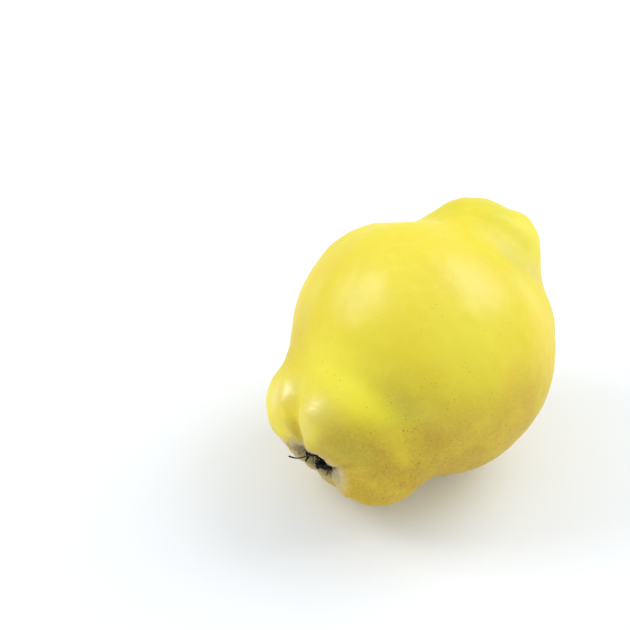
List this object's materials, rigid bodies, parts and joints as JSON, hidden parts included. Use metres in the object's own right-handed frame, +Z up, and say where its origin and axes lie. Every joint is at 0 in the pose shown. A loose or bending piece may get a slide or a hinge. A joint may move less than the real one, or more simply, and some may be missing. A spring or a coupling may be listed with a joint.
{
  "type": "quince",
  "caption": "Ripe yellow quince lying on its side, with a lobed calyx end, a dried flower rest in its basin and a short woody stem.",
  "frame": {"origin": "on the surface that the fruit lies on, under the middle of its bounding box", "axes": "+Z up, +Y level from the calyx end towards the stem end, +X to the right seen from the calyx end"},
  "size_m": [0.0856, 0.1057, 0.0848],
  "materials": {
    "quince_skin": "waxy satin fruit skin, lemon yellow with olive shading and fine brown specks",
    "dried_sepals": "matt, dry and wrinkled, nearly black",
    "woody_stem": "matt brown bark with a grey scar at its end"
  },
  "bodies": {
    "root": {"fruit": "quince_skin", "calyx": "dried_sepals", "stem": "woody_stem"}
  },
  "joints": []
}
